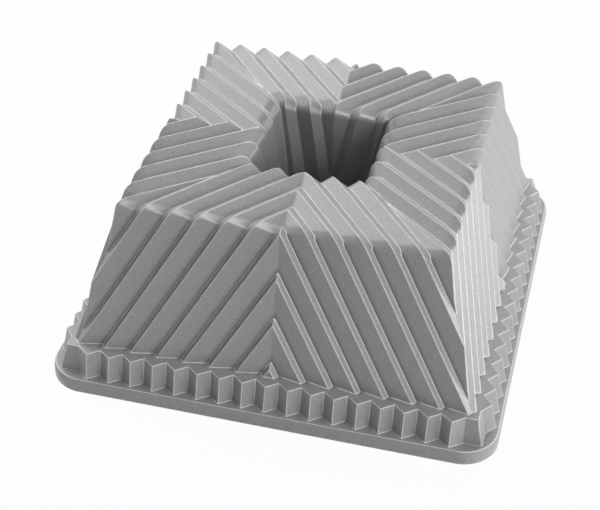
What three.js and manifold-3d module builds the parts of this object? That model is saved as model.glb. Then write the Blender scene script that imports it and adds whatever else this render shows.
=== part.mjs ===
// Square ring cake pan, cast in aluminium, lying upside down with its crown on top.
// Each of the four sides is folded into chevron pleats. A pleat climbs the wall, bends over the
// crown, crosses the top and drops into the centre tube. All four sides are alike, and each side is
// its own mirror image, so one half side is built and then mirrored and turned.
// Millimetres, +Z up, origin on the table below the middle of the pan, front side towards -Y.

import * as THREE from 'three';
import { mergeVertices } from 'three/addons/utils/BufferGeometryUtils.js';
import Module from 'manifold-3d';

const wasm = await Module();
wasm.setup();

// Shell
const SHELL = 3; // thickness of the casting
const SIDES = ['front', 'right', 'back', 'left'];

// Rim: the flat flange that the upturned pan rests on
const RIM_HALF = 116.5; // from the middle to the outer edge
const RIM_HEIGHT = 8.4;
const RIM_CORNER = 18.9; // radius of the corners, seen from above
const RIM_EDGES = [ // height and inset of the edge: lower break, upright band, long upper break
  { height: 0, inset: 0.8 },
  { height: 0.8, inset: 0 },
  { height: 5.8, inset: 0 },
  { height: RIM_HEIGHT, inset: 0.9 },
];

// Collar: the upright zigzag band between the rim and the ledge
const COLLAR_HEIGHT = 14.2;
const COLLAR_TEETH = 17; // on each side, the middle one on the side's centre line
const COLLAR_PITCH = 11.72;
const COLLAR_DEPTH = 4.8; // from valley to tip
const COLLAR_VALLEY = 106.2; // from the middle to the valleys, at the ledge
const COLLAR_DRAFT = 0.22; // outward lean for each millimetre down

// Walls, top and centre tube, measured on the proud edges of the pleats
const WALL_FOOT = 104; // from the middle to the wall, at the ledge
const WALL_HEIGHT = 78.6; // from the ledge to the top
const WALL_DRAFT = 0.271; // inward lean for each millimetre up
const CROWN_ROUND = 5; // radius of the crown edge
const HOLE_HALF = 30.4; // from the middle to the tube wall, at the top
const HOLE_ROUND = 8; // radius of the edge round the hole
const TUBE_DRAFT = 0.18; // inward lean for each millimetre down
const TUBE_END = 6; // height of the tube's open end above the table
const INNER_ROUND = 1; // smallest radius of an edge on the cake side

// Pleats: a saw-tooth fold. From its proud edge the riser drops by depth over run, and a flat
// strip climbs back to the next proud edge. The edges lean sideways as they run along the surface.
const PITCH = 14;
const WALL_PLEAT = { depth: 2.7, run: 1.88, lean: 0.575 };
const TOP_PLEAT = { depth: 4, run: 6.76, lean: 0.805 };
const TUBE_PLEAT = { depth: 3, run: 9, lean: 0.2 };
const CROWN_SLIDE = -2.04; // place of pleat 0 on the sharp crown edge, from the side's centre line
const TUBE_STEP = 2.4; // sideways step of the pleats over the edge round the hole
const BEND_SHARE = 0.8; // part of a rounded edge over which one pleat shape turns into the next
const WALL_ROW = { first: -5, last: 8 }; // pleats that reach into half a side of each region
const CROWN_ROW = { first: -2, last: 8 };
const TUBE_ROW = { first: 1, last: 8 };

// Fineness of the curved edges
const ROUND_STEPS = 6; // facets of each rounded edge, an even number
const RIM_CORNER_STEPS = 12; // facets of each rim corner
const SAME_POINT = 1e-5; // points closer than this are one point

// Heights and half widths that follow from the driving dimensions
const LEDGE_LEVEL = RIM_HEIGHT + COLLAR_HEIGHT;
const TOP_LEVEL = LEDGE_LEVEL + WALL_HEIGHT;
const CROWN_HALF = WALL_FOOT - WALL_DRAFT * WALL_HEIGHT;
const HOLE_SLIDE = CROWN_SLIDE - TOP_PLEAT.lean * (CROWN_HALF - HOLE_HALF);
const TUBE_SLIDE = HOLE_SLIDE + TUBE_STEP;
const COLLAR_BACKSET = SHELL * Math.hypot(COLLAR_DEPTH, COLLAR_PITCH / 2) / (COLLAR_PITCH / 2);

// Reach of the cutting tools past the pan
const BEYOND = 10;
const WIDE = 160;
const PLUG_REACH = 60;
const LEDGE_BACK = 80; // the ledge plate starts this far from the middle, before the wall trims it

const silver = new THREE.MeshStandardMaterial({ color: 0xa7a8aa, roughness: 0.48, metalness: 0.6 });

// Closed solids as triangles, and their cuts and joins

function signedVolume(points, triangles) {
  let volume = 0;
  for (const [a, b, c] of triangles) {
    volume += points[a].dot(points[b].clone().cross(points[c])) / 6;
  }
  return volume;
}

// Skin over a row of rings with equal point counts. Each ring is an array of Vector3, and flats holds
// the first and the last ring as plane outlines for their end faces.
function loft(rings, flats) {
  const count = rings[0].length;
  const points = rings.flat();
  const triangles = [];
  for (let ring = 0; ring + 1 < rings.length; ring += 1) {
    for (let i = 0; i < count; i += 1) {
      const next = (i + 1) % count;
      const low = ring * count;
      const high = low + count;
      triangles.push([low + i, low + next, high + next], [low + i, high + next, high + i]);
    }
  }
  const last = (rings.length - 1) * count;
  const firstTurn = THREE.ShapeUtils.area(flats[0]) > 0 ? 1 : -1;
  for (const [a, b, c] of THREE.ShapeUtils.triangulateShape([...flats[0]], [])) {
    triangles.push(firstTurn > 0 ? [a, c, b] : [a, b, c]);
  }
  for (const [a, b, c] of THREE.ShapeUtils.triangulateShape([...flats[1]], [])) {
    triangles.push(firstTurn > 0 ? [last + a, last + b, last + c] : [last + a, last + c, last + b]);
  }
  const inward = signedVolume(points, triangles) < 0;
  const index = triangles.flatMap(([a, b, c]) => (inward ? [a, c, b] : [a, b, c]));
  const geometry = new THREE.BufferGeometry();
  geometry.setAttribute('position', new THREE.Float32BufferAttribute(points.flatMap((p) => p.toArray()), 3));
  geometry.setIndex(index);
  return geometry;
}

function solid(geometry) {
  const bare = new THREE.BufferGeometry();
  bare.setAttribute('position', geometry.getAttribute('position'));
  bare.setIndex(geometry.getIndex());
  const merged = mergeVertices(bare, SAME_POINT);
  return new wasm.Manifold(new wasm.Mesh({
    numProp: 3,
    vertProperties: new Float32Array(merged.getAttribute('position').array),
    triVerts: new Uint32Array(merged.getIndex().array),
  }));
}

function surface(manifold) {
  const mesh = manifold.getMesh();
  const geometry = new THREE.BufferGeometry();
  geometry.setAttribute('position', new THREE.BufferAttribute(new Float32Array(mesh.vertProperties), 3));
  geometry.setIndex(new THREE.BufferAttribute(new Uint32Array(mesh.triVerts), 1));
  return geometry;
}

// The mirror image across the side's centre plane, with its faces turned outwards again.
function mirrored(geometry) {
  const image = geometry.clone().scale(-1, 1, 1);
  const index = image.getIndex().array;
  for (let i = 0; i < index.length; i += 3) {
    [index[i + 1], index[i + 2]] = [index[i + 2], index[i + 1]];
  }
  return image;
}

// A level outline of (along the side, out from the middle) points, stacked at given heights and shifts.
function prism(outline, levels) {
  const ring = ({ height, shift }) => (
    outline.map(([along, out]) => new THREE.Vector3(along, -out - shift, height)));
  const flat = outline.map(([along, out]) => new THREE.Vector2(along, -out));
  return solid(loft(levels.map(ring), [flat, flat]));
}

// The eighth of space that one half side fills: from the side's centre plane to the corner diagonal.
function halfSideSpace(low, high) {
  const wedge = [[0, 0], [0, WIDE], [WIDE, WIDE]];
  return prism(wedge, [{ height: low, shift: 0 }, { height: high, shift: 0 }]);
}

// The pleated sheet

// A rounded edge between two straight runs of the profile. Corner is its sharp point, and each run has
// its outward normal as an angle from level, its pleat, and the slide of that pleat at the corner.
function roundedEdge(corner, radius, before, after) {
  const from = before.normal;
  const to = after.normal;
  const half = (to - from) / 2;
  const middle = from + half;
  const bisector = new THREE.Vector2(Math.cos(middle), Math.sin(middle)).divideScalar(Math.cos(half));
  const back = new THREE.Vector2(Math.sin(from), -Math.cos(from)); // along the run before the edge
  const ahead = new THREE.Vector2(-Math.sin(to), Math.cos(to)); // along the run after it
  return { corner, from, to, radius, before, after, bisector, back, ahead };
}

const wallNormal = Math.atan(WALL_DRAFT);
const topNormal = Math.PI / 2;
const tubeNormal = Math.PI - Math.atan(TUBE_DRAFT);
const crownPoint = new THREE.Vector2(CROWN_HALF, TOP_LEVEL);
const crownEdge = roundedEdge(
  crownPoint,
  CROWN_ROUND,
  { normal: wallNormal, pleat: WALL_PLEAT, slide: CROWN_SLIDE },
  { normal: topNormal, pleat: TOP_PLEAT, slide: CROWN_SLIDE },
);
const holePoint = new THREE.Vector2(HOLE_HALF, TOP_LEVEL);
const holeEdge = roundedEdge(
  holePoint,
  HOLE_ROUND,
  { normal: topNormal, pleat: TOP_PLEAT, slide: HOLE_SLIDE },
  { normal: tubeNormal, pleat: TUBE_PLEAT, slide: TUBE_SLIDE },
);

// A station on a rounded edge, a share of the way round it. Its place gives the profile point and the
// sideways slide of the pleats at a distance below the proud surface. Proud edges and valleys are
// rounded to one radius, and the cake side to a radius smaller by its setback.
function roundStation(edge, share) {
  const mixed = THREE.MathUtils.smoothstep(share, 0, BEND_SHARE);
  const mix = (key) => THREE.MathUtils.lerp(edge.before.pleat[key], edge.after.pleat[key], mixed);
  const angle = THREE.MathUtils.lerp(edge.from, edge.to, share);
  const place = (below, setback) => {
    const radius = Math.max(edge.radius - setback, INNER_ROUND);
    const offset = new THREE.Vector2(Math.cos(angle), Math.sin(angle)).multiplyScalar(radius);
    offset.addScaledVector(edge.bisector, -below - radius);
    const slideBefore = edge.before.slide + edge.before.pleat.lean * offset.dot(edge.back);
    const slideAfter = edge.after.slide - edge.after.pleat.lean * offset.dot(edge.ahead);
    return {
      out: edge.corner.x + offset.x,
      height: edge.corner.y + offset.y,
      slide: THREE.MathUtils.lerp(slideBefore, slideAfter, mixed),
    };
  };
  return { pleat: { depth: mix('depth'), run: mix('run') }, place };
}

// A station on a straight run, a distance along it from the sharp edge. Away is the unit direction
// of that run, and normal its outward normal.
function straightStation(edge, pleat, normalAngle, away, distance, slide) {
  const place = (below) => ({
    out: edge.corner.x + away.x * distance - Math.cos(normalAngle) * below,
    height: edge.corner.y + away.y * distance - Math.sin(normalAngle) * below,
    slide,
  });
  return { pleat, place };
}

function footStation(extra) {
  const away = new THREE.Vector2(WALL_DRAFT, -1).normalize();
  const distance = Math.hypot(WALL_DRAFT, 1) * WALL_HEIGHT + extra;
  const slide = CROWN_SLIDE + WALL_PLEAT.lean * distance;
  return straightStation(crownEdge, WALL_PLEAT, wallNormal, away, distance, slide);
}

function tubeEndStation(extra) {
  const away = new THREE.Vector2(-TUBE_DRAFT, -1).normalize();
  const distance = Math.hypot(TUBE_DRAFT, 1) * (TOP_LEVEL - TUBE_END) + extra;
  const slide = TUBE_SLIDE - TUBE_PLEAT.lean * distance;
  return straightStation(holeEdge, TUBE_PLEAT, tubeNormal, away, distance, slide);
}

function roundStations(edge, from, to) {
  const stations = [];
  for (let step = from; step <= to; step += 1) {
    stations.push(roundStation(edge, step / ROUND_STEPS));
  }
  return stations;
}

// The saw-tooth line of a row of pleats at one station, as (along, below the proud surface).
function sawTooth(pleat, row) {
  const line = [];
  for (let k = row.first; k <= row.last; k += 1) {
    line.push({ along: k * PITCH, below: 0, setback: 0 });
    line.push({ along: k * PITCH + pleat.run, below: pleat.depth, setback: 0 });
  }
  return line;
}

// The cake side is the same saw-tooth moved so that strips and risers both keep the shell's thickness.
function cakeSide(pleat, row) {
  const strip = Math.hypot(PITCH - pleat.run, pleat.depth) / PITCH;
  const riser = Math.hypot(pleat.run, pleat.depth) / PITCH;
  const down = SHELL * (strip + riser);
  const shift = (pleat.run * down / PITCH - SHELL * riser) * PITCH / pleat.depth;
  return sawTooth(pleat, row).map(({ along, below }) => (
    { along: along + shift, below: below + down, setback: SHELL }));
}

function sectionRing(station, outline) {
  return outline.map(({ along, below, setback }) => {
    const spot = station.place(below, setback);
    return new THREE.Vector3(along + spot.slide, -spot.out, spot.height);
  });
}

// A section ring laid flat: along the side, and down from the proud surface.
function laidFlat(ring) {
  const down = new THREE.Vector3().subVectors(ring[ring.length - 1], ring[0]).setX(0).normalize();
  return ring.map((p) => new THREE.Vector2(p.x, p.dot(down)));
}

// A pleated slab through the stations. Its back is the cake side, or a flat face far behind it.
function pleatedSlab(stations, row, outlineOf) {
  const rings = stations.map((station) => sectionRing(station, outlineOf(station.pleat, row)));
  return solid(loft(rings, [laidFlat(rings[0]), laidFlat(rings[rings.length - 1])]));
}

function shellOutline(pleat, row) {
  return [...sawTooth(pleat, row), ...cakeSide(pleat, row).reverse()];
}

function plugOutline(pleat, row) {
  const front = cakeSide(pleat, row);
  const start = { along: front[0].along, below: PLUG_REACH, setback: SHELL };
  const end = { along: front[front.length - 1].along, below: PLUG_REACH, setback: SHELL };
  return [...front, end, start];
}

// The zigzag outline of half a side's collar, set back from its outer face by a distance.
function zigzagOutline(backset, back) {
  const line = [];
  for (let step = -1; step <= COLLAR_TEETH; step += 1) {
    const tip = step % 2 === 0 ? COLLAR_DEPTH : 0;
    line.push([step * COLLAR_PITCH / 2, COLLAR_VALLEY + tip - backset]);
  }
  return [...line, [WIDE, COLLAR_VALLEY - backset], [WIDE, back], [-COLLAR_PITCH / 2, back]];
}

function collarLevels(low, high) {
  return [low, high].map((height) => ({ height, shift: COLLAR_DRAFT * (LEDGE_LEVEL - height) }));
}

// Half sides of the six regions of the casting

function halfWall() {
  const stations = [footStation(BEYOND), ...roundStations(crownEdge, 0, ROUND_STEPS / 2)];
  const space = halfSideSpace(LEDGE_LEVEL, TOP_LEVEL + BEYOND);
  return pleatedSlab(stations, WALL_ROW, shellOutline).intersect(space);
}

function halfCrown() {
  const stations = [
    ...roundStations(crownEdge, ROUND_STEPS / 2, ROUND_STEPS),
    ...roundStations(holeEdge, 0, ROUND_STEPS / 2),
  ];
  const space = halfSideSpace(0, TOP_LEVEL + BEYOND);
  return pleatedSlab(stations, CROWN_ROW, shellOutline).intersect(space);
}

function halfTube() {
  const stations = [...roundStations(holeEdge, ROUND_STEPS / 2, ROUND_STEPS), tubeEndStation(BEYOND)];
  const space = halfSideSpace(TUBE_END, TOP_LEVEL + BEYOND);
  return pleatedSlab(stations, TUBE_ROW, shellOutline).intersect(space);
}

function halfLedge() {
  const levels = collarLevels(LEDGE_LEVEL - SHELL, LEDGE_LEVEL);
  const plate = prism(zigzagOutline(COLLAR_BACKSET, LEDGE_BACK), levels);
  const insideWall = pleatedSlab([footStation(BEYOND), footStation(-BEYOND)], WALL_ROW, plugOutline);
  return plate.subtract(insideWall).intersect(halfSideSpace(0, TOP_LEVEL));
}

function collarInside() {
  return prism(zigzagOutline(COLLAR_BACKSET, -BEYOND), collarLevels(-BEYOND, LEDGE_LEVEL + BEYOND));
}

function halfCollar() {
  const outside = prism(zigzagOutline(0, LEDGE_BACK), collarLevels(RIM_HEIGHT, LEDGE_LEVEL));
  return outside.subtract(collarInside()).intersect(halfSideSpace(0, TOP_LEVEL));
}

// The rim's outer edge, a square with round corners, drawn in by an inset.
function rimOutline(inset) {
  const half = RIM_HALF - inset;
  const straight = RIM_HALF - RIM_CORNER;
  const radius = RIM_CORNER - inset;
  const shape = new THREE.Shape();
  shape.moveTo(straight, -half);
  shape.absarc(straight, -straight, radius, -Math.PI / 2, 0, false);
  shape.absarc(straight, straight, radius, 0, Math.PI / 2, false);
  shape.absarc(-straight, straight, radius, Math.PI / 2, Math.PI, false);
  shape.absarc(-straight, -straight, radius, Math.PI, 1.5 * Math.PI, false);
  return shape.extractPoints(RIM_CORNER_STEPS).shape;
}

function halfRim() {
  const outlines = RIM_EDGES.map((edge) => rimOutline(edge.inset));
  const rings = outlines.map((outline, i) => (
    outline.map((p) => new THREE.Vector3(p.x, p.y, RIM_EDGES[i].height))));
  const block = solid(loft(rings, [outlines[0], outlines[outlines.length - 1]]));
  return block.subtract(collarInside()).intersect(halfSideSpace(-BEYOND, TOP_LEVEL));
}

// The whole pan

const regions = {
  wall: halfWall,
  crown: halfCrown,
  tube: halfTube,
  ledge: halfLedge,
  collar: halfCollar,
  rim: halfRim,
};
const pan = new THREE.Group();
for (const [region, makeHalf] of Object.entries(regions)) {
  const half = makeHalf();
  const whole = half.add(solid(mirrored(surface(half))));
  SIDES.forEach((side, quarter) => {
    const mesh = new THREE.Mesh(surface(whole), silver.clone());
    mesh.name = `${region}_${side}`;
    mesh.rotation.z = quarter * Math.PI / 2;
    pan.add(mesh);
  });
}

export default pan;
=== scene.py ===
"""A square ring cake pan of cast aluminium, upside down on a white table, seen from the front and above.

Lengths are in metres. The pan's middle is at the origin, its rim stands on the table at height 0, and
its front side faces -Y. One half of one side is built, then mirrored and turned into the whole casting.
"""

import math

import bmesh
import bpy
import numpy as np
from mathutils import Matrix, Vector


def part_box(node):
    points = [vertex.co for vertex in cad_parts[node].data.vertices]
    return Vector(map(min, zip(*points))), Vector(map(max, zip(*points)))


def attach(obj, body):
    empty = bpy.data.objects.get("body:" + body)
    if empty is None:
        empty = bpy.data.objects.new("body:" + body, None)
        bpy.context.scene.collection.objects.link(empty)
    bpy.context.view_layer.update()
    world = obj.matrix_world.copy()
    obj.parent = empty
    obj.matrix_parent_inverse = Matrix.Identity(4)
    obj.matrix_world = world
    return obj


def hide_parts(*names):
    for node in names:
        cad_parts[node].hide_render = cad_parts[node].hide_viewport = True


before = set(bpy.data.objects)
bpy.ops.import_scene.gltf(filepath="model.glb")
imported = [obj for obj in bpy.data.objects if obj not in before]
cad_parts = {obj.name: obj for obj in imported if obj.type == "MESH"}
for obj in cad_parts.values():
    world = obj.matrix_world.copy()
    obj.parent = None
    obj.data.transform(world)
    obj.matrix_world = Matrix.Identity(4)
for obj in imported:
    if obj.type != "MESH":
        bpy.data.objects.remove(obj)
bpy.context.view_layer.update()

MM = 0.001
SIDES = ("front", "right", "back", "left")

# Levels and outer sizes, taken from the frame
RIM_HALF = -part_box("rim_front")[0].y
RIM_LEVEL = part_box("rim_front")[1].z
LEDGE_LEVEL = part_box("ledge_front")[1].z
LEDGE_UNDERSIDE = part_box("ledge_front")[0].z
TOP_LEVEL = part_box("crown_front")[1].z
TUBE_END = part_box("tube_front")[0].z
SHELL = LEDGE_LEVEL - LEDGE_UNDERSIDE

# Rim: corner radius from above, and its edge as (inset, height) from the top face to the rim face
RIM_CORNER = 18.9 * MM
RIM_FLAT = 6 * MM
RIM_BEVEL = 0.9 * MM
RIM_BEVEL_FOOT = 5.8 * MM
RIM_CHAMFER = 0.8 * MM
RIM_EDGE = (
    (RIM_FLAT, RIM_LEVEL),
    (RIM_BEVEL, RIM_LEVEL),
    (0, RIM_BEVEL_FOOT),
    (0, RIM_CHAMFER),
    (RIM_CHAMFER, 0),
    (RIM_FLAT, 0),
)

# The rim is drawn a little past the middle of its corner, where its mirror takes over
RIM_TURN = math.radians(60)

# Collar: an upright zigzag band between the rim and the ledge.
# Its steps are the tips and valleys of half a side, and a few past the corner.
COLLAR_TEETH = 17
COLLAR_PITCH = 11.72 * MM
COLLAR_DEPTH = 4.8 * MM
COLLAR_VALLEY = 106.2 * MM
COLLAR_DRAFT = 0.22
COLLAR_STEPS = 26

# Walls, top and tube, measured on the proud edges of the pleats.
# The pleats change from one slant to the next over the bend share of a round.
WALL_FOOT = 104 * MM
WALL_DRAFT = 0.271
CROWN_HALF = WALL_FOOT - WALL_DRAFT * (TOP_LEVEL - LEDGE_LEVEL)
CROWN_ROUND = 5 * MM
HOLE_HALF = 30.4 * MM
HOLE_ROUND = 8 * MM
TUBE_DRAFT = 0.18
LEAST_ROUND = 1 * MM
BEND_SHARE = 0.8

# Pleats: a riser drops by depth over run, and a flat strip climbs back to the next proud edge.
# The edges lean sideways by lean for each metre along the surface.
PITCH = 14 * MM
WALL_PLEAT = {"depth": 2.7 * MM, "run": 1.88 * MM, "lean": 0.575}
TOP_PLEAT = {"depth": 4 * MM, "run": 6.76 * MM, "lean": 0.805}
TUBE_PLEAT = {"depth": 3 * MM, "run": 9 * MM, "lean": 0.2}
CROWN_SLIDE = -2.04 * MM
TUBE_STEP = 2.4 * MM
TUBE_SLIDE = CROWN_SLIDE - TOP_PLEAT["lean"] * (CROWN_HALF - HOLE_HALF) + TUBE_STEP
FIRST_PLEAT = -5
PLEATS = 14

# Small rounds of the casting's edges, as the length of each leg of the curve
EDGE_ROUND = 0.42 * MM
CAKE_EDGE_ROUND = 0.6 * MM
FOOT_FILLET = 0.5 * MM
LIP_ROUND = 0.8 * MM
COLLAR_ROUND = 0.4 * MM
RIM_ROUND = 0.4 * MM

# Fold between a half side and its mirror: its round, the cuts beside it in rounds, and how far it reaches
FOLD_ROUND = 0.35 * MM
FOLD_STEPS = (0, 0.35, 0.8, 1.5, 3)
FOLD_EDGE = 2 * FOLD_ROUND
FOLD_REACH = 8 * FOLD_ROUND

# Steps of a small round, of a large round and of the rim's corner
EDGE_STEPS = 4
ROUND_STEPS = 20
CORNER_STEPS = 16

# Points closer than this are one point, and a cut is made more exactly
TOUCH = 2e-6
CUT_TOUCH = TOUCH / 10

# Painted shade in the hollows: how far it reaches from the foot of a riser, and its depth in the tube and
# the collar
PAINTED_SHADE_REACH = 4 * MM
TUBE_PAINTED_SHADE = 0.8
COLLAR_PAINTED_SHADE = 0.6

# Turn of the surface at a point, from the flat, at which the painted edge highlight starts to show and shows
# fully
CREASE_LEAST = math.radians(4)
CREASE_MOST = math.radians(8)

# Coats: colour, the painted highlight on an edge and the painted shade in a hollow, contrast of the flakes,
# and gloss
SILVER_COLOUR = (0.45, 0.45, 0.455)
SILVER_EDGE_HIGHLIGHT = 1.2
SILVER_PAINTED_SHADE = 0.5
SILVER_FLAKES = 0.45
SILVER_ROUGHNESS = 0.33
SILVER_BUMP = 0.25
CAKE_COLOUR = (0.06, 0.06, 0.063)
CAKE_EDGE_HIGHLIGHT = 0.3
CAKE_PAINTED_SHADE = 0.2
CAKE_FLAKES = 0.3
CAKE_ROUGHNESS = 0.38
CAKE_BUMP = 0.15

# Grain of both coats
FLAKE_SIZE = 0.9 * MM
FLAKE_DETAIL = 1
PEEL_SIZE = 6 * MM
PEEL_DETAIL = 2
PEEL_CONTRAST = 0.05
NOISE_MIDDLE = 0.5
BUMP_DEPTH = 0.1 * MM

# Table and room
WHITE = (1, 1, 1, 1)
FLOOR_COLOUR = (0.85, 0.85, 0.85, 1)
FLOOR_ROUGHNESS = 0.9
FLOOR_HALF = 4
FLOOR_WHITE = 0.96
ROOM_LIGHT = 0.01

# Lamps: name, azimuth and elevation in degrees, size, and power in watts. Gleams show in gloss alone.
LAMPS = (
    ("right", 93, 8, 0.7, 9.6),
    ("front_right", 57, 28, 0.8, 7.6),
    ("front_high", 62, 52, 0.9, 2.0),
    ("back", 180, 42, 1.6, 6.6),
    ("back_left", 225, 42, 1.6, 7.2),
    ("far_left", 240, 36, 0.8, 5.8),
    ("left", 270, 25, 0.7, 3.5),
)
GLEAMS = (
    ("front_gleam", 30, 31, 0.6, 11.0),
    ("right_gleam", 52, 31, 0.4, 4.2),
)
LAMP_DISTANCE = 1.6

# Camera of the photograph
CAMERA_PLACE = (142.02 * MM, -620.91 * MM, 514.82 * MM)
CAMERA_TURN = (52.288, -0.759, 14.373)
CAMERA_LENS = 87.286
CAMERA_SENSOR = 36


# Node formulas


class Amount:
    """A number that a node tree works out. Arithmetic on amounts adds Math nodes to the tree."""

    def __init__(self, tree, source):
        self.tree = tree
        self.source = source

    def math(self, operation, *others, clamp=False):
        node = self.tree.nodes.new("ShaderNodeMath")
        node.operation = operation
        node.use_clamp = clamp
        for socket, item in zip(node.inputs, (self, *others)):
            if isinstance(item, Amount):
                self.tree.links.new(item.source, socket)
            else:
                socket.default_value = item
        return Amount(self.tree, node.outputs[0])

    def __add__(self, other):
        return self.math("ADD", other)

    def __sub__(self, other):
        return self.math("SUBTRACT", other)

    def __mul__(self, other):
        return self.math("MULTIPLY", other)

    def __truediv__(self, other):
        return self.math("DIVIDE", other)

    def __neg__(self):
        return self.math("MULTIPLY", -1)

    def __rsub__(self, other):
        return self.math("MULTIPLY_ADD", -1, other)

    __radd__ = __add__
    __rmul__ = __mul__

    def clamped(self):
        return self.math("ADD", 0, clamp=True)

    def eased(self):
        """The amount, kept from 0 to 1, with a soft start and end."""
        share = self.clamped()
        return share * share * (3 - 2 * share)

    def floor(self):
        return self.math("FLOOR")


def blend(first, second, share):
    return first + (second - first) * share


def length(across, up):
    return (across * across + up * up).math("SQRT")


def new_tree(name, sizes):
    """A node tree with a named input for each size, and those inputs as amounts."""
    tree = bpy.data.node_groups.new(name, "GeometryNodeTree")
    tree.interface.new_socket("Mesh", in_out="OUTPUT", socket_type="NodeSocketGeometry")
    for key, value in sizes.items():
        kind = "NodeSocketInt" if isinstance(value, int) else "NodeSocketFloat"
        tree.interface.new_socket(key, in_out="INPUT", socket_type=kind)
    tree.interface.new_socket("Coat", in_out="INPUT", socket_type="NodeSocketMaterial")
    entry = tree.nodes.new("NodeGroupInput")
    return tree, entry, {key: Amount(tree, entry.outputs[key]) for key in sizes}


def grid_places(tree, rows):
    """Column and row of each point of a grid with this many rows."""
    index = Amount(tree, tree.nodes.new("GeometryNodeInputIndex").outputs[0])
    column = (index / rows + TOUCH).floor()
    return column, index - column * rows


def finish_tree(tree, entry, columns, rows, place, marks):
    """Ends a tree: a grid whose points move to a place and carry marks, as real mesh in its coat."""
    nodes, links = tree.nodes, tree.links
    grid = nodes.new("GeometryNodeMeshGrid")
    links.new(columns.source, grid.inputs["Vertices X"])
    links.new(rows.source, grid.inputs["Vertices Y"])
    joined = nodes.new("ShaderNodeCombineXYZ")
    for socket, amount in zip(joined.inputs, place):
        links.new(amount.source, socket)
    moved = nodes.new("GeometryNodeSetPosition")
    links.new(grid.outputs["Mesh"], moved.inputs["Geometry"])
    links.new(joined.outputs[0], moved.inputs["Position"])
    last = moved
    for key, amount in marks.items():
        noted = nodes.new("GeometryNodeStoreNamedAttribute")
        noted.inputs["Name"].default_value = key
        links.new(last.outputs[0], noted.inputs["Geometry"])
        links.new(amount.source, noted.inputs["Value"])
        last = noted
    realized = nodes.new("GeometryNodeRealizeInstances")
    links.new(last.outputs[0], realized.inputs[0])
    coated = nodes.new("GeometryNodeSetMaterial")
    links.new(realized.outputs[0], coated.inputs["Geometry"])
    links.new(entry.outputs["Coat"], coated.inputs["Material"])
    exit_node = nodes.new("NodeGroupOutput")
    links.new(coated.outputs[0], exit_node.inputs[0])


def built_mesh(tree, sizes, coat):
    """The plain mesh that a node tree makes from its sizes."""
    holder = bpy.data.objects.new(tree.name, bpy.data.meshes.new(tree.name))
    bpy.context.scene.collection.objects.link(holder)
    modifier = holder.modifiers.new(tree.name, "NODES")
    modifier.node_group = tree
    values = {**sizes, "Coat": coat}
    for item in tree.interface.items_tree:
        if item.in_out == "INPUT":
            modifier[item.identifier] = values[item.name]
    depsgraph = bpy.context.evaluated_depsgraph_get()
    mesh = bpy.data.meshes.new_from_object(holder.evaluated_get(depsgraph))
    bpy.data.objects.remove(holder)
    return mesh


# Pleated sheet, from the ledge over the crown and down the tube


def pleat_sizes(setback, foot_level, lip, edge_round):
    """Sizes of a pleated sheet that lies some setback inside the outer surface."""
    sizes = {
        "Pitch": PITCH,
        "Setback": setback,
        "Foot level": foot_level,
        "Foot fillet": FOOT_FILLET,
        "Tube end": TUBE_END,
        "Lip": lip,
        "Edge round": edge_round,
        "Hollow reach": PAINTED_SHADE_REACH,
        "Tube hollow": TUBE_PAINTED_SHADE,
        "Top level": TOP_LEVEL,
        "Wall draft": WALL_DRAFT,
        "Crown half": CROWN_HALF,
        "Crown round": CROWN_ROUND,
        "Crown slide": CROWN_SLIDE,
        "Hole half": HOLE_HALF,
        "Hole round": HOLE_ROUND,
        "Tube slide": TUBE_SLIDE,
        "Tube draft": TUBE_DRAFT,
        "Least round": LEAST_ROUND,
        "First pleat": FIRST_PLEAT,
        "Pleats": PLEATS,
        "Edge steps": EDGE_STEPS,
        "Round steps": ROUND_STEPS,
    }
    for region, pleat in (("Wall", WALL_PLEAT), ("Top", TOP_PLEAT), ("Tube", TUBE_PLEAT)):
        for key, value in pleat.items():
            sizes[f"{region} {key}"] = value
    return sizes


def curve_point(corner, toward, away, reach, share):
    """A point on the small curve that rounds a corner, one coordinate at a time."""
    rest = 1 - share
    return corner + reach * (share * share * away - rest * rest * toward)


def pleat_section(size, column, depth, run, setback):
    """Place of a column on the saw-tooth section: along the side, and below the proud surface.

    Then whether it is at the foot of a riser, and whether it is on a face and not inside an edge's curve.
    """
    steps = size["Edge steps"]
    points = 2 * steps + 3
    pleat = (column / points + TOUCH).floor()
    place = column - pleat * points
    valley = (place - steps).clamped()
    on_strip = (place - 2 * steps - 1).clamped()
    share = ((place - valley * (steps + 1)) / steps).clamped()
    reach = blend(size["Edge round"], size["Hollow reach"], on_strip)
    strip_run = size["Pitch"] - run
    strip = length(strip_run, depth)
    riser = length(run, depth)
    shift_below = setback * (strip + riser) / size["Pitch"]
    shift_along = (run * shift_below - setback * riser) / depth
    strip_along, strip_below = strip_run / strip, -depth / strip
    riser_along, riser_below = run / riser, depth / riser
    along = curve_point(
        (pleat + size["First pleat"]) * size["Pitch"] + valley * run + shift_along,
        blend(strip_along, riser_along, valley),
        blend(riser_along, strip_along, valley),
        reach,
        share,
    )
    below = curve_point(
        valley * depth + shift_below,
        blend(strip_below, riser_below, valley),
        blend(riser_below, strip_below, valley),
        reach,
        share,
    )
    foot_of_riser = valley * (share * steps - steps + 1).clamped() * (1 - on_strip)
    on_face = 1 - (share * (1 - share)).math("GREATER_THAN", TOUCH)
    return along, below, foot_of_riser, on_face


def rounded_edge(size, below, share, edge, turn):
    """Distance out and height of a point on a rounded edge between two straight runs."""
    start, end = turn
    half = (end - start) / 2
    middle = start + half
    radius = (size[f"{edge} round"] - size["Setback"]).math("MAXIMUM", size["Least round"])
    depth = (below + radius) / half.math("COSINE")
    angle = blend(start, end, share)
    out = size[f"{edge} half"] - middle.math("COSINE") * depth + angle.math("COSINE") * radius
    height = size["Top level"] - middle.math("SINE") * depth + angle.math("SINE") * radius
    return out, height


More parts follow.
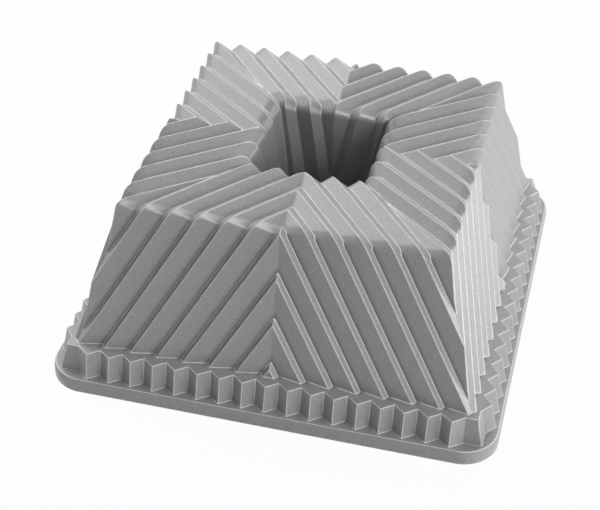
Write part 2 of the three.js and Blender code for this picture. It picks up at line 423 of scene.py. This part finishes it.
def straight_end(size, below, height, edge, region, side):
    """Distance out and height at the far end of a straight run. Side is 1 for the outer wall."""
    draft = size[f"{region} draft"]
    slope = length(draft, 1)
    distance = (size["Top level"] - height) * slope - below * draft
    out = size[f"{edge} half"] + side * (draft * distance - below) / slope
    return out, height


def pleat_slide(size, out, height, crown_mix, hole_mix):
    """How far the pleats have slid sideways at a place on the profile."""

    def distance_down(edge, region, side):
        draft = size[f"{region} draft"]
        drop = size["Top level"] - height
        return (side * (out - size[f"{edge} half"]) * draft + drop) / length(draft, 1)

    on_wall = size["Crown slide"] + size["Wall lean"] * distance_down("Crown", "Wall", 1)
    on_top = size["Crown slide"] - size["Top lean"] * (size["Crown half"] - out)
    on_tube = size["Tube slide"] - size["Tube lean"] * distance_down("Hole", "Tube", -1)
    return blend(blend(on_wall, on_top, crown_mix), on_tube, hole_mix)


def pleat_tree(sizes):
    """The pleated sheet. Each column of points runs up the wall, over the crown and down the tube."""
    tree, entry, size = new_tree("pleated_sheet", sizes)
    edge, turn = size["Edge steps"], size["Round steps"]
    rows = 2 * (edge + turn + 2)
    columns = size["Pleats"] * (2 * edge + 3)
    column, row = grid_places(tree, rows)

    foot_share = (1 - row / edge).clamped()
    on_crown = (row - edge).clamped()
    crown_share = ((row - edge - 1) / turn).clamped()
    on_hole = (row - edge - turn - 1).clamped()
    hole_share = ((row - edge - turn - 2) / turn).clamped()
    on_tube = (row - edge - turn - turn - 2).clamped()
    lip_share = ((row - edge - turn - turn - 3) / edge).clamped()

    crown_mix = (crown_share / BEND_SHARE).eased()
    hole_mix = (hole_share / BEND_SHARE).eased()

    def mixed(key):
        before_tube = blend(size[f"Wall {key}"], size[f"Top {key}"], crown_mix)
        return blend(before_tube, size[f"Tube {key}"], hole_mix)

    foot_rest = 1 - foot_share
    lip_rest = 1 - lip_share
    wall_angle = size["Wall draft"].math("ARCTANGENT")
    setback = size["Setback"] - size["Foot fillet"] * foot_share * foot_share
    setback = setback + size["Lip"] * lip_share * lip_share
    along, below, foot_of_riser, on_face = pleat_section(
        size, column, mixed("depth"), mixed("run"), setback
    )
    # The hollow mark is where painted shade goes: at the foot of each riser on the wall, growing over the
    # hole's edge and full down the tube.
    marks = {
        "hollow": foot_of_riser * (1 - crown_mix) + size["Tube hollow"] * (hole_share - on_tube) + on_tube,
        "face": on_face * (1 - foot_share.math("CEIL")) * (1 - lip_share.math("CEIL")),
    }

    foot_height = size["Foot level"] + size["Foot fillet"] * foot_rest * foot_rest
    end_height = size["Tube end"] + size["Lip"].math("ABSOLUTE") * lip_rest * lip_rest
    top_angle = math.pi / 2
    tube_angle = math.pi - size["Tube draft"].math("ARCTANGENT")
    foot = straight_end(size, below, foot_height, "Crown", "Wall", 1)
    crown = rounded_edge(size, below, crown_share, "Crown", (wall_angle, top_angle))
    hole = rounded_edge(size, below, hole_share, "Hole", (top_angle, tube_angle))
    end = straight_end(size, below, end_height, "Hole", "Tube", -1)
    out, height = (
        blend(blend(blend(a, b, on_crown), c, on_hole), d, on_tube)
        for a, b, c, d in zip(foot, crown, hole, end)
    )
    slide = pleat_slide(size, out, height, crown_mix, hole_mix)
    finish_tree(tree, entry, columns, rows, (along + slide, -out, height), marks)
    return tree


# Zigzag band of the collar


def collar_sizes(setback, top_level, bottom_level):
    """Sizes of a zigzag band that lies some setback inside the outer surface."""
    return {
        "Half pitch": COLLAR_PITCH / 2,
        "Depth": COLLAR_DEPTH,
        "Valley": COLLAR_VALLEY,
        "Draft": COLLAR_DRAFT,
        "Valley level": LEDGE_LEVEL,
        "Setback": setback,
        "Top level": top_level,
        "Bottom level": bottom_level,
        "Edge round": COLLAR_ROUND,
        "Hollow": COLLAR_PAINTED_SHADE,
        "Teeth": COLLAR_TEETH,
        "Steps": COLLAR_STEPS,
        "Edge steps": EDGE_STEPS,
    }


def collar_tree(sizes):
    """The zigzag band. Each column of points stands upright on the collar."""
    tree, entry, size = new_tree("zigzag_band", sizes)
    edge, reach, half = size["Edge steps"], size["Edge round"], size["Half pitch"]
    rows = 2 * (edge + 1)
    columns = size["Steps"] * (edge + 1)
    column, row = grid_places(tree, rows)

    top_share = (row / edge).clamped()
    on_bottom = (row - edge).clamped()
    bottom_share = ((row - edge - 1) / edge).clamped()
    top_rest = 1 - top_share
    bottom_rest = 1 - bottom_share
    height = blend(
        size["Top level"] - reach * top_share * top_share,
        size["Bottom level"] + reach * bottom_rest * bottom_rest,
        on_bottom,
    )
    setback = size["Setback"] + reach * top_rest * top_rest - reach * bottom_share * bottom_share

    count = (column / (edge + 1) + TOUCH).floor()
    step = count - 1
    share = (column - count * (edge + 1)) / edge

    def tip(place):
        even = 1 - place.math("FLOORED_MODULO", 2)
        return size["Depth"] * even * place.math("LESS_THAN", size["Teeth"])

    rise_before = tip(step) - tip(step - 1)
    rise_after = tip(step + 1) - tip(step)
    run_before = length(half, rise_before)
    run_after = length(half, rise_after)
    along = curve_point(step * half, half / run_before, half / run_after, reach, share)
    out = curve_point(tip(step), rise_before / run_before, rise_after / run_after, reach, share)
    face = size["Valley"] + size["Draft"] * (size["Valley level"] - height)
    mitre = length(half, size["Depth"]) / half
    inner = 1 - tip(step) / size["Depth"]
    place = (along, -(face + out - setback * mitre), height)
    # The hollow mark is where painted shade goes: in the valleys of the zigzag, along its foot.
    finish_tree(tree, entry, columns, rows, place, {"hollow": inner * on_bottom * size["Hollow"]})
    return tree


# Edge of the rim


def softened(corners, reach):
    """A line of points in which each inner corner is drawn as a small curve."""
    corners = [Vector(corner) for corner in corners]
    line = []
    for before, corner, after in zip(corners, corners[1:], corners[2:]):
        toward = (corner - before).normalized()
        away = (after - corner).normalized()
        for i in range(EDGE_STEPS + 1):
            share = i / EDGE_STEPS
            line.append(corner + reach * (share**2 * away - (1 - share) ** 2 * toward))
    return line


def rim_mesh():
    """The rim's edge along half a side and round its corner. It starts a little past the side's middle."""
    straight = RIM_HALF - RIM_CORNER
    turns = [RIM_TURN * i / CORNER_STEPS for i in range(CORNER_STEPS + 1)]
    points = []
    for inset, height in softened(RIM_EDGE, RIM_ROUND):
        radius = RIM_CORNER - inset
        points.append((-COLLAR_PITCH, inset - RIM_HALF, height))
        for turn in turns:
            points.append((straight + radius * math.sin(turn), -straight - radius * math.cos(turn), height))
    width = CORNER_STEPS + 2
    faces = [
        (low + i, low + i + 1, low + i + 1 + width, low + i + width)
        for low in range(0, len(points) - width, width)
        for i in range(width - 1)
    ]
    mesh = bpy.data.meshes.new("rim_edge")
    mesh.from_pydata(points, [], faces)
    return mesh


# Half side of the casting

SILVER, CAKE = 0, 1
MOULD, FOOT = 0, 1
MARKS = ("hollow", "face")
CENTRE_PLANE = Vector((1, 0, 0))
CORNER_PLANE = Vector((-1, -1, 0)).normalized()


def fold(form, normal):
    """Cuts the sheets at a plane of symmetry, and rounds the crease that they make with their mirror."""
    for share in FOLD_STEPS:
        bmesh.ops.bisect_plane(
            form,
            geom=[*form.verts, *form.edges, *form.faces],
            dist=CUT_TOUCH,
            plane_co=normal * FOLD_ROUND * math.hypot(1, share),
            plane_no=normal,
            clear_inner=share == 0,
        )
    on_face = form.verts.layers.float["face"]
    scale = FOLD_REACH / math.sqrt(FOLD_REACH**2 - FOLD_ROUND**2)
    for vert in form.verts:
        reach = vert.co.dot(normal)
        if reach < FOLD_EDGE:
            vert[on_face] = 0
        if reach < FOLD_REACH:
            past = max(reach**2 - FOLD_ROUND**2, 0)
            kept = scale * math.sqrt(past) if reach > FOLD_ROUND + TOUCH else 0
            vert.co += normal * (kept - reach)


def fill_level(form, level, coat, part):
    """Closes the flat face between the open edges that lie at one level."""
    edges = [
        edge for edge in form.edges
        if edge.is_boundary and all(abs(vert.co.z - level) < TOUCH for vert in edge.verts)
    ]
    ends = {vert for edge in edges for vert in edge.verts}
    ends = [vert for vert in ends if sum(edge in edges for edge in vert.link_edges) == 1]
    for normal in (CENTRE_PLANE, CORNER_PLANE):
        pair = [vert for vert in ends if abs(vert.co.dot(normal)) < TOUCH]
        edges.append(form.edges.new(pair))
    filled = bmesh.ops.triangle_fill(form, use_beauty=True, use_dissolve=False, edges=edges)
    label(form, [item for item in filled["geom"] if isinstance(item, bmesh.types.BMFace)], coat, part)


def label(form, faces, coat, part):
    """Notes on faces which coat they carry and which part of the casting they are."""
    layer = form.faces.layers.int["part"]
    for face in faces:
        face.material_index = coat
        face[layer] = part


def half_side(silver, cake):
    """One half side as points with their marks, and triangles with their coats and parts."""
    sheets = []
    for setback, foot_level, lip, edge, coat, material in (
        (0.0, LEDGE_LEVEL, LIP_ROUND, EDGE_ROUND, SILVER, silver),
        (SHELL, LEDGE_UNDERSIDE, -LIP_ROUND, CAKE_EDGE_ROUND, CAKE, cake),
    ):
        sizes = pleat_sizes(setback, foot_level, lip, edge)
        sheets.append((built_mesh(pleat_tree(sizes), sizes, material), coat, MOULD))
    for setback, top_level, bottom_level, coat, material in (
        (0.0, LEDGE_LEVEL, RIM_LEVEL, SILVER, silver),
        (SHELL, LEDGE_UNDERSIDE, 0.0, CAKE, cake),
    ):
        sizes = collar_sizes(setback, top_level, bottom_level)
        sheets.append((built_mesh(collar_tree(sizes), sizes, material), coat, FOOT))
    sheets.append((rim_mesh(), SILVER, FOOT))

    form = bmesh.new()
    form.faces.layers.int.new("part")
    for key in MARKS:
        form.verts.layers.float.new(key)
    for mesh, coat, part in sheets:
        start = len(form.faces)
        form.from_mesh(mesh)
        form.faces.ensure_lookup_table()
        label(form, form.faces[start:], coat, part)
    fold(form, CENTRE_PLANE)
    fold(form, CORNER_PLANE)
    bmesh.ops.remove_doubles(form, verts=form.verts, dist=TOUCH)
    for level, coat, part in (
        (TUBE_END, SILVER, MOULD),
        (LEDGE_LEVEL, SILVER, FOOT),
        (LEDGE_UNDERSIDE, CAKE, FOOT),
        (RIM_LEVEL, SILVER, FOOT),
        (0, SILVER, FOOT),
    ):
        fill_level(form, level, coat, part)
    bmesh.ops.triangulate(form, faces=form.faces)
    form.verts.index_update()
    part_layer = form.faces.layers.int["part"]
    mark_layers = {key: form.verts.layers.float[key] for key in MARKS}
    points = np.array([vert.co for vert in form.verts])
    marks = {key: np.array([vert[layer] for vert in form.verts]) for key, layer in mark_layers.items()}
    triangles = np.array([[vert.index for vert in face.verts] for face in form.faces])
    coats = np.array([face.material_index for face in form.faces])
    parts = np.array([face[part_layer] for face in form.faces])
    form.free()
    return points, marks, triangles, coats, parts


# Whole casting


def closed(form):
    return all(edge.is_manifold for edge in form.edges)


def whole_casting(points, marks, triangles, coats, parts):
    """The half side mirrored and turned into one closed mesh, with its marks and labels."""
    copies, faces, sides = [], [], []
    for number in range(len(SIDES)):
        turn = np.array(Matrix.Rotation(number * math.pi / 2, 3, "Z"))
        for flip in (1, -1):
            faces.append(triangles[:, ::flip] + sum(map(len, copies)))
            copies.append(points * (flip, 1, 1) @ turn.T)
            sides.append(np.full(len(triangles), number))
    mesh = bpy.data.meshes.new("casting")
    mesh.from_pydata(np.concatenate(copies), [], np.concatenate(faces))
    repeats = 2 * len(SIDES)
    labels = {
        "coat": np.tile(coats, repeats),
        "part": np.tile(parts, repeats),
        "side": np.concatenate(sides),
    }
    for key, values in labels.items():
        mesh.attributes.new(key, "INT", "FACE").data.foreach_set("value", values.astype(np.int32))
    for key, values in marks.items():
        mesh.attributes.new(key, "FLOAT", "POINT").data.foreach_set("value", np.tile(values, repeats))
    form = bmesh.new()
    form.from_mesh(mesh)
    bmesh.ops.remove_doubles(form, verts=form.verts, dist=TOUCH)
    bmesh.ops.dissolve_degenerate(form, dist=TOUCH, edges=form.edges)
    bmesh.ops.triangulate(form, faces=form.faces)
    bmesh.ops.recalc_face_normals(form, faces=form.faces)
    assert closed(form), "the casting has open edges"
    form.to_mesh(mesh)
    form.free()
    return mesh


def values_of(collection, key, kind, width=1):
    """One value of each item of a collection, as an array."""
    values = np.empty(len(collection) * width, kind)
    collection.foreach_get(key, values)
    return values.reshape(-1, width) if width > 1 else values


def smooth_normals(points, triangles):
    """A normal for each point in which large faces weigh most, and how far the point is from a flat face."""
    a, b, c = (points[triangles[:, i]] for i in range(3))
    facing = np.cross(b - a, c - a)
    normals = np.zeros_like(points)
    for i in range(3):
        np.add.at(normals, triangles[:, i], facing)
    normals /= np.linalg.norm(normals, axis=1, keepdims=True)
    area = np.linalg.norm(facing, axis=1)
    order = np.argsort(area)
    largest = np.zeros(len(points), int)
    largest[triangles[order].ravel()] = np.repeat(order, 3)
    flat = facing[largest] / area[largest, None]
    turned = np.arccos(np.clip((normals * flat).sum(1), -1, 1))
    crease = np.clip((turned - CREASE_LEAST) / (CREASE_MOST - CREASE_LEAST), 0, 1)
    return normals, crease


# Pieces: the casting parted at its corners, and at the foot of its walls


def walk(edges, start):
    """The points of an open line of edges, in order from one end."""
    line, left = [start], set(edges)
    while ahead := left.intersection(line[-1].link_edges):
        edge = ahead.pop()
        left.remove(edge)
        line.append(edge.other_vert(line[-1]))
    return line


def join_lines(form, first, second):
    """A strip of triangles between two lines that start and end beside each other."""
    i, j = 0, 0
    while i + j < len(first) + len(second) - 2:
        ahead = first[i + 1:i + 2]
        beside = second[j + 1:j + 2]
        gap = (ahead[0].co - second[j].co).length if ahead else math.inf
        other_gap = (beside[0].co - first[i].co).length if beside else math.inf
        corner = ahead[0] if gap < other_gap else beside[0]
        form.faces.new((first[i], corner, second[j]))
        i, j = (i + 1, j) if gap < other_gap else (i, j + 1)


def close_joints(form, quarter):
    """Closes a piece with a flat joint face at each corner, and one between the two feet of its wall."""
    turn = Matrix.Rotation(quarter * math.pi / 2, 3, "Z")
    feet = [edge for edge in form.edges if edge.is_boundary]
    for normal in (turn @ CORNER_PLANE, turn @ Vector((-CORNER_PLANE.x, CORNER_PLANE.y, 0))):
        joint = {edge for edge in feet if all(abs(vert.co.dot(normal)) < TOUCH for vert in edge.verts)}
        feet = [edge for edge in feet if edge not in joint]
        verts = {vert for edge in joint for vert in edge.verts}
        ends = [vert for vert in verts if len(joint.intersection(vert.link_edges)) == 1]
        bar = form.edges.new(ends)
        bmesh.ops.triangle_fill(form, use_beauty=True, edges=[*joint, bar], normal=normal)
    join_lines(form, *(walk(feet, end) for end in ends))
    bmesh.ops.recalc_face_normals(form, faces=form.faces)
    assert closed(form), "a piece has open edges"


def piece(name, quarter, points, triangles, coats, normals, marks, materials):
    """One piece of the casting, smooth across its joints."""
    used, local = np.unique(triangles, return_inverse=True)
    mesh = bpy.data.meshes.new(name)
    mesh.from_pydata(points[used], [], local.reshape(-1, 3))
    mesh.polygons.foreach_set("material_index", coats.astype(np.int32))
    for key, values in marks.items():
        mesh.attributes.new(key, "FLOAT", "POINT").data.foreach_set("value", values[used])
    form = bmesh.new()
    form.from_mesh(mesh)
    close_joints(form, quarter)
    form.to_mesh(mesh)
    form.free()
    mesh.shade_smooth()
    corners = values_of(mesh.loops, "vertex_index", np.int32)
    facing = normals[used][corners]
    for face in mesh.polygons[len(triangles):]:
        facing[face.loop_start:face.loop_start + face.loop_total] = face.normal
    mesh.normals_split_custom_set(facing)
    for material in materials:
        mesh.materials.append(material)
    made = bpy.data.objects.new(name, mesh)
    bpy.context.scene.collection.objects.link(made)
    return made


PIECES = {"pleats": (MOULD, ("wall", "crown", "tube")), "foot": (FOOT, ("ledge", "collar", "rim"))}


def make_pieces(materials):
    """The pleats and the foot of each side, in place of the nodes that they show."""
    casting = whole_casting(*half_side(*materials))
    points = values_of(casting.vertices, "co", np.float32, 3)
    triangles = values_of(casting.loops, "vertex_index", np.int32).reshape(-1, 3)
    coats, parts, sides = (
        values_of(casting.attributes[key].data, "value", np.int32) for key in ("coat", "part", "side")
    )
    hollow, on_face = (values_of(casting.attributes[key].data, "value", np.float32) for key in MARKS)
    normals, crease = smooth_normals(points, triangles)
    # The crease mark is where the painted edge highlight goes, and the hollow mark where the painted shade
    # goes.
    marks = {"crease": crease * (1 - on_face), "hollow": hollow}
    for region, (part, nodes) in PIECES.items():
        for quarter, side in enumerate(SIDES):
            chosen = (parts == part) & (sides == quarter)
            made = piece(
                f"{region}_{side}",
                quarter,
                points,
                triangles[chosen],
                coats[chosen],
                normals,
                marks,
                materials,
            )
            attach(made, "root")
            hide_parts(*(f"{node}_{side}" for node in nodes))


# Coats


def new_group(name, inputs, outputs):
    group = bpy.data.node_groups.new(name, "ShaderNodeTree")
    for key in inputs:
        group.interface.new_socket(key, in_out="INPUT", socket_type="NodeSocketFloat")
    for key in outputs:
        group.interface.new_socket(key, in_out="OUTPUT", socket_type="NodeSocketFloat")
    return group, group.nodes.new("NodeGroupInput"), group.nodes.new("NodeGroupOutput")


def coat_grain():
    """Grain of a sprayed coat: flakes that lie each at their own slant, over a soft unevenness."""
    group, entry, leave = new_group(
        "coat_grain", ("Flake size", "Flake contrast", "Peel size", "Peel contrast"), ("Tone", "Height")
    )
    nodes, links = group.nodes, group.links
    place = nodes.new("ShaderNodeTexCoord").outputs["Object"]

    def noise(size, detail):
        texture = nodes.new("ShaderNodeTexNoise")
        texture.inputs["Detail"].default_value = detail
        links.new(place, texture.inputs["Vector"])
        scale = nodes.new("ShaderNodeMath")
        scale.operation = "DIVIDE"
        scale.inputs[0].default_value = 1
        links.new(entry.outputs[size], scale.inputs[1])
        links.new(scale.outputs[0], texture.inputs["Scale"])
        return texture

    def spread(texture, contrast):
        """Value of a texture about 0, times a contrast."""
        centred = Amount(group, texture.outputs[0]) - NOISE_MIDDLE
        return centred * Amount(group, entry.outputs[contrast])

    flakes = noise("Flake size", FLAKE_DETAIL)
    peel = noise("Peel size", PEEL_DETAIL)
    tone = 1 + spread(flakes, "Flake contrast") + spread(peel, "Peel contrast")
    links.new(tone.source, leave.inputs["Tone"])
    links.new(flakes.outputs[0], leave.inputs["Height"])
    return group


def coat(name, grain, colour, painted_highlight, painted_shade, flakes, roughness, bump):
    """A sprayed coat: grained colour, with a painted highlight over the casting's edges and painted shade in
    its hollows.
    """
    material = bpy.data.materials.new(name)
    material.use_nodes = True
    nodes, links = material.node_tree.nodes, material.node_tree.links
    shader = nodes["Principled BSDF"]
    shader.inputs["Metallic"].default_value = 0
    shader.inputs["Roughness"].default_value = roughness
    group = nodes.new("ShaderNodeGroup")
    group.node_tree = grain
    group.inputs["Flake size"].default_value = FLAKE_SIZE
    group.inputs["Flake contrast"].default_value = flakes
    group.inputs["Peel size"].default_value = PEEL_SIZE
    group.inputs["Peel contrast"].default_value = PEEL_CONTRAST

    def mark(key):
        attribute = nodes.new("ShaderNodeAttribute")
        attribute.attribute_name = key
        return Amount(material.node_tree, attribute.outputs["Fac"])

    # Painted shade darkens the hollows, and a painted highlight brightens the edges where they are not in a
    # hollow.
    hollow = mark("hollow") * mark("hollow")
    edge_highlight = 1 + mark("crease") * (1 - hollow) * painted_highlight
    tone = Amount(material.node_tree, group.outputs["Tone"]) * edge_highlight * (1 - hollow * painted_shade)
    tinted = nodes.new("ShaderNodeVectorMath")
    tinted.operation = "SCALE"
    tinted.inputs[0].default_value = colour
    links.new(tone.source, tinted.inputs["Scale"])
    links.new(tinted.outputs[0], shader.inputs["Base Color"])
    relief = nodes.new("ShaderNodeBump")
    relief.inputs["Strength"].default_value = bump
    relief.inputs["Distance"].default_value = BUMP_DEPTH
    links.new(group.outputs["Height"], relief.inputs["Height"])
    links.new(relief.outputs[0], shader.inputs["Normal"])
    return material


def make_coats():
    """The silver coat outside, and the dark coat on the cake side."""
    grain = coat_grain()
    silver = coat(
        "silver_coat",
        grain,
        SILVER_COLOUR,
        painted_highlight=SILVER_EDGE_HIGHLIGHT,
        painted_shade=SILVER_PAINTED_SHADE,
        flakes=SILVER_FLAKES,
        roughness=SILVER_ROUGHNESS,
        bump=SILVER_BUMP,
    )
    cake = coat(
        "cake_side_coat",
        grain,
        CAKE_COLOUR,
        painted_highlight=CAKE_EDGE_HIGHLIGHT,
        painted_shade=CAKE_PAINTED_SHADE,
        flakes=CAKE_FLAKES,
        roughness=CAKE_ROUGHNESS,
        bump=CAKE_BUMP,
    )
    return silver, cake


# Stage, lamps and camera


def seen_directly(tree):
    """1 for rays that show the background, in the picture and in gloss and glass, and 0 for the others."""
    path = tree.nodes.new("ShaderNodeLightPath")
    rays = [Amount(tree, path.outputs[f"Is {kind} Ray"]) for kind in ("Camera", "Glossy", "Transmission")]
    return (rays[0] + rays[1] + rays[2]).clamped()


def make_floor():
    """A white table: paper in the light that it casts back, and plain white where it is seen."""
    material = bpy.data.materials.new("white_table")
    material.use_nodes = True
    tree = material.node_tree
    paper = tree.nodes["Principled BSDF"]
    paper.inputs["Base Color"].default_value = FLOOR_COLOUR
    paper.inputs["Roughness"].default_value = FLOOR_ROUGHNESS
    white = tree.nodes.new("ShaderNodeEmission")
    mixed = tree.nodes.new("ShaderNodeMixShader")
    tree.links.new((seen_directly(tree) * FLOOR_WHITE).source, mixed.inputs[0])
    tree.links.new(paper.outputs[0], mixed.inputs[1])
    tree.links.new(white.outputs[0], mixed.inputs[2])
    tree.links.new(mixed.outputs[0], tree.nodes["Material Output"].inputs["Surface"])
    mesh = bpy.data.meshes.new("floor")
    corners = [(-1, -1), (1, -1), (1, 1), (-1, 1)]
    mesh.from_pydata([(x * FLOOR_HALF, y * FLOOR_HALF, 0) for x, y in corners], [], [(0, 1, 2, 3)])
    mesh.materials.append(material)
    floor = bpy.data.objects.new("floor", mesh)
    bpy.context.scene.collection.objects.link(floor)


def make_world():
    """A dim room, that is plain white where it is seen."""
    world = bpy.data.worlds.new("studio")
    world.use_nodes = True
    tree = world.node_tree
    room = tree.nodes["Background"]
    room.inputs["Color"].default_value = WHITE
    room.inputs["Strength"].default_value = ROOM_LIGHT
    white = tree.nodes.new("ShaderNodeBackground")
    white.inputs["Color"].default_value = WHITE
    mixed = tree.nodes.new("ShaderNodeMixShader")
    tree.links.new(seen_directly(tree).source, mixed.inputs[0])
    tree.links.new(room.outputs[0], mixed.inputs[1])
    tree.links.new(white.outputs[0], mixed.inputs[2])
    tree.links.new(mixed.outputs[0], tree.nodes["World Output"].inputs["Surface"])
    bpy.context.scene.world = world


def make_lamp(name, azimuth, elevation, size, power):
    """A round soft lamp that looks at the pan. Azimuth 0 is in front and 90 on the right."""
    data = bpy.data.lights.new(name, "AREA")
    data.shape = "DISK"
    data.size = size
    data.energy = power
    lamp = bpy.data.objects.new(name, data)
    around, up = math.radians(azimuth), math.radians(elevation)
    back = Vector((math.sin(around) * math.cos(up), -math.cos(around) * math.cos(up), math.sin(up)))
    lamp.location = Vector((0, 0, TOP_LEVEL / 2)) + back * LAMP_DISTANCE
    lamp.rotation_euler = back.to_track_quat("Z", "Y").to_euler()
    bpy.context.scene.collection.objects.link(lamp)
    return lamp


def make_camera():
    """The camera, where it stood for the photograph."""
    camera = bpy.data.objects.new("camera", bpy.data.cameras.new("camera"))
    camera.location = CAMERA_PLACE
    camera.rotation_euler = [math.radians(angle) for angle in CAMERA_TURN]
    camera.data.lens = CAMERA_LENS
    camera.data.sensor_width = CAMERA_SENSOR
    bpy.context.scene.collection.objects.link(camera)
    bpy.context.scene.camera = camera


make_camera()
make_world()
make_floor()
for lamp in LAMPS:
    make_lamp(*lamp)
for gleam in GLEAMS:
    make_lamp(*gleam).visible_diffuse = False
make_pieces(make_coats())
bpy.context.scene.view_settings.view_transform = "Standard"
